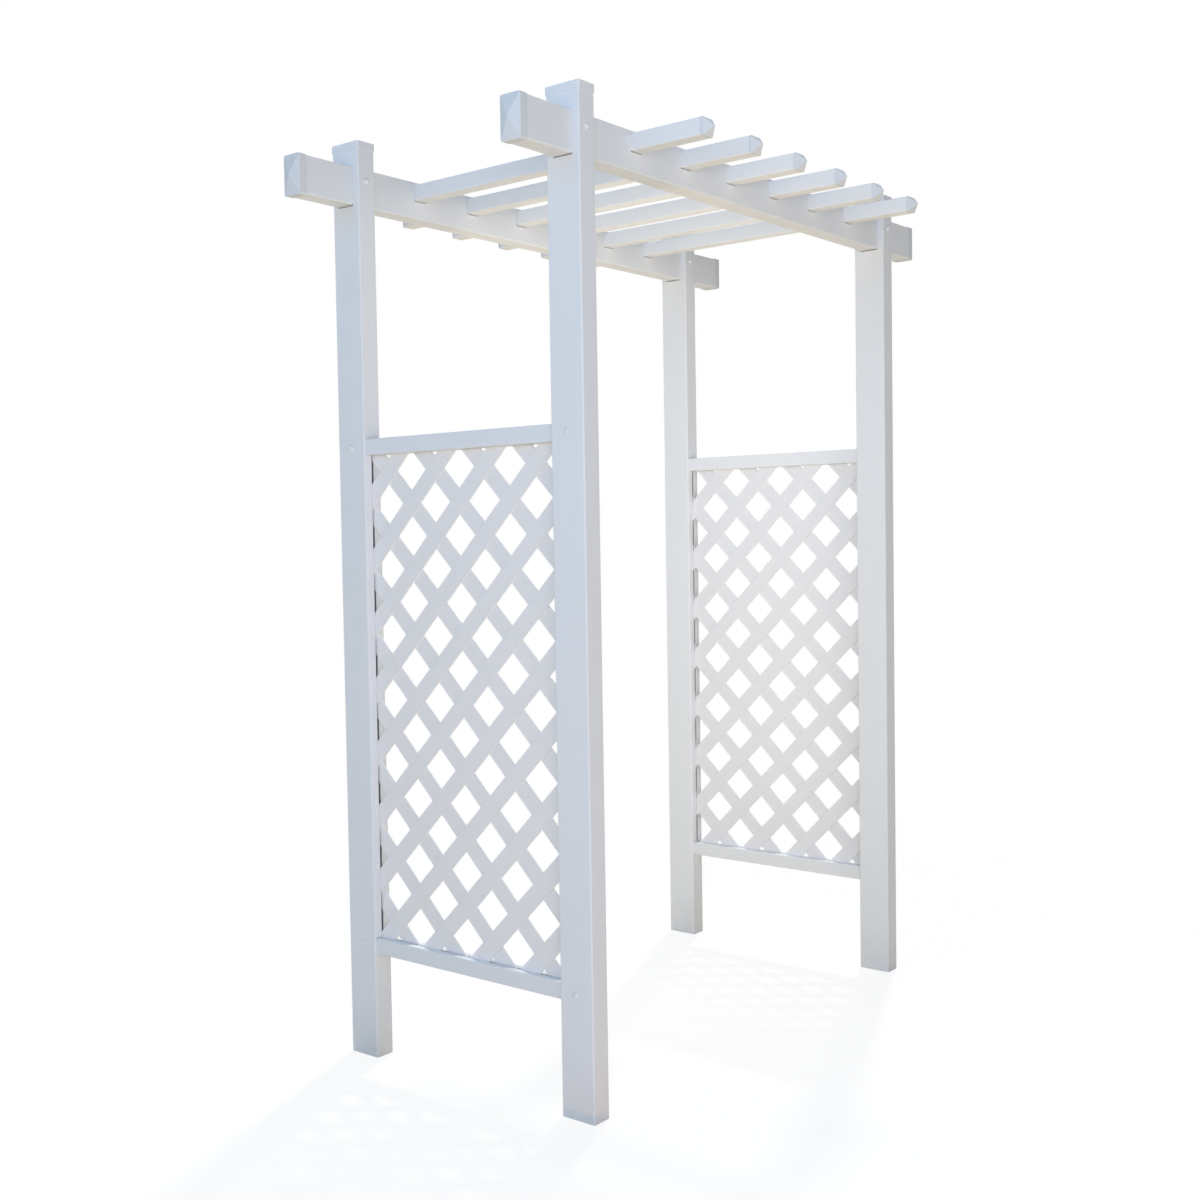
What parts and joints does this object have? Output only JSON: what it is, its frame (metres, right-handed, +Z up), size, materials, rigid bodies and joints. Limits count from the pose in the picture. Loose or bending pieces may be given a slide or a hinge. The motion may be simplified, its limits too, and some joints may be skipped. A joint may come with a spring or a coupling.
{
  "type": "garden arbor",
  "caption": "Flat-topped white vinyl garden arbor with lattice sides: hollow posts carry through-beams and a row of purlins over an open walkway for a path and climbing plants.",
  "frame": {"origin": "on the ground, at the middle of the four posts", "axes": "+Z up; X across the walkway, along the beams; Y through the walkway, along the purlins; front is -Y and left is -X"},
  "size_m": [1.7054, 1.1298, 2.1707],
  "materials": {
    "extruded_vinyl": "satin",
    "moulded_vinyl": "satin",
    "lattice_vinyl": "satin",
    "cover_plastic": "glossy",
    "screw_steel": "zinc plated"
  },
  "bodies": {
    "root": {"beam_back": "extruded_vinyl", "beam_cap_back_left": "moulded_vinyl", "beam_cap_back_right": "moulded_vinyl", "beam_cap_front_left": "moulded_vinyl", "beam_cap_front_right": "moulded_vinyl", "beam_front": "extruded_vinyl", "beam_screw_covers": "cover_plastic", "beam_screws": "screw_steel", "lattice_left_inner": "lattice_vinyl", "lattice_left_outer": "lattice_vinyl", "lattice_right_inner": "lattice_vinyl", "lattice_right_outer": "lattice_vinyl", "lower_rail_left": "extruded_vinyl", "lower_rail_right": "extruded_vinyl", "post_back_left": "extruded_vinyl", "post_back_right": "extruded_vinyl", "post_cap_back_left": "moulded_vinyl", "post_cap_back_right": "moulded_vinyl", "post_cap_front_left": "moulded_vinyl", "post_cap_front_right": "moulded_vinyl", "post_front_left": "extruded_vinyl", "post_front_right": "extruded_vinyl", "purlin_1": "extruded_vinyl", "purlin_2": "extruded_vinyl", "purlin_3": "extruded_vinyl", "purlin_4": "extruded_vinyl", "purlin_5": "extruded_vinyl", "purlin_6": "extruded_vinyl", "purlin_screws": "screw_steel", "purlin_tip_1_back": "moulded_vinyl", "purlin_tip_1_front": "moulded_vinyl", "purlin_tip_2_back": "moulded_vinyl", "purlin_tip_2_front": "moulded_vinyl", "purlin_tip_3_back": "moulded_vinyl", "purlin_tip_3_front": "moulded_vinyl", "purlin_tip_4_back": "moulded_vinyl", "purlin_tip_4_front": "moulded_vinyl", "purlin_tip_5_back": "moulded_vinyl", "purlin_tip_5_front": "moulded_vinyl", "purlin_tip_6_back": "moulded_vinyl", "purlin_tip_6_front": "moulded_vinyl", "rail_screw_covers": "cover_plastic", "rail_screws": "screw_steel", "upper_rail_left": "extruded_vinyl", "upper_rail_right": "extruded_vinyl"}
  },
  "joints": []
}
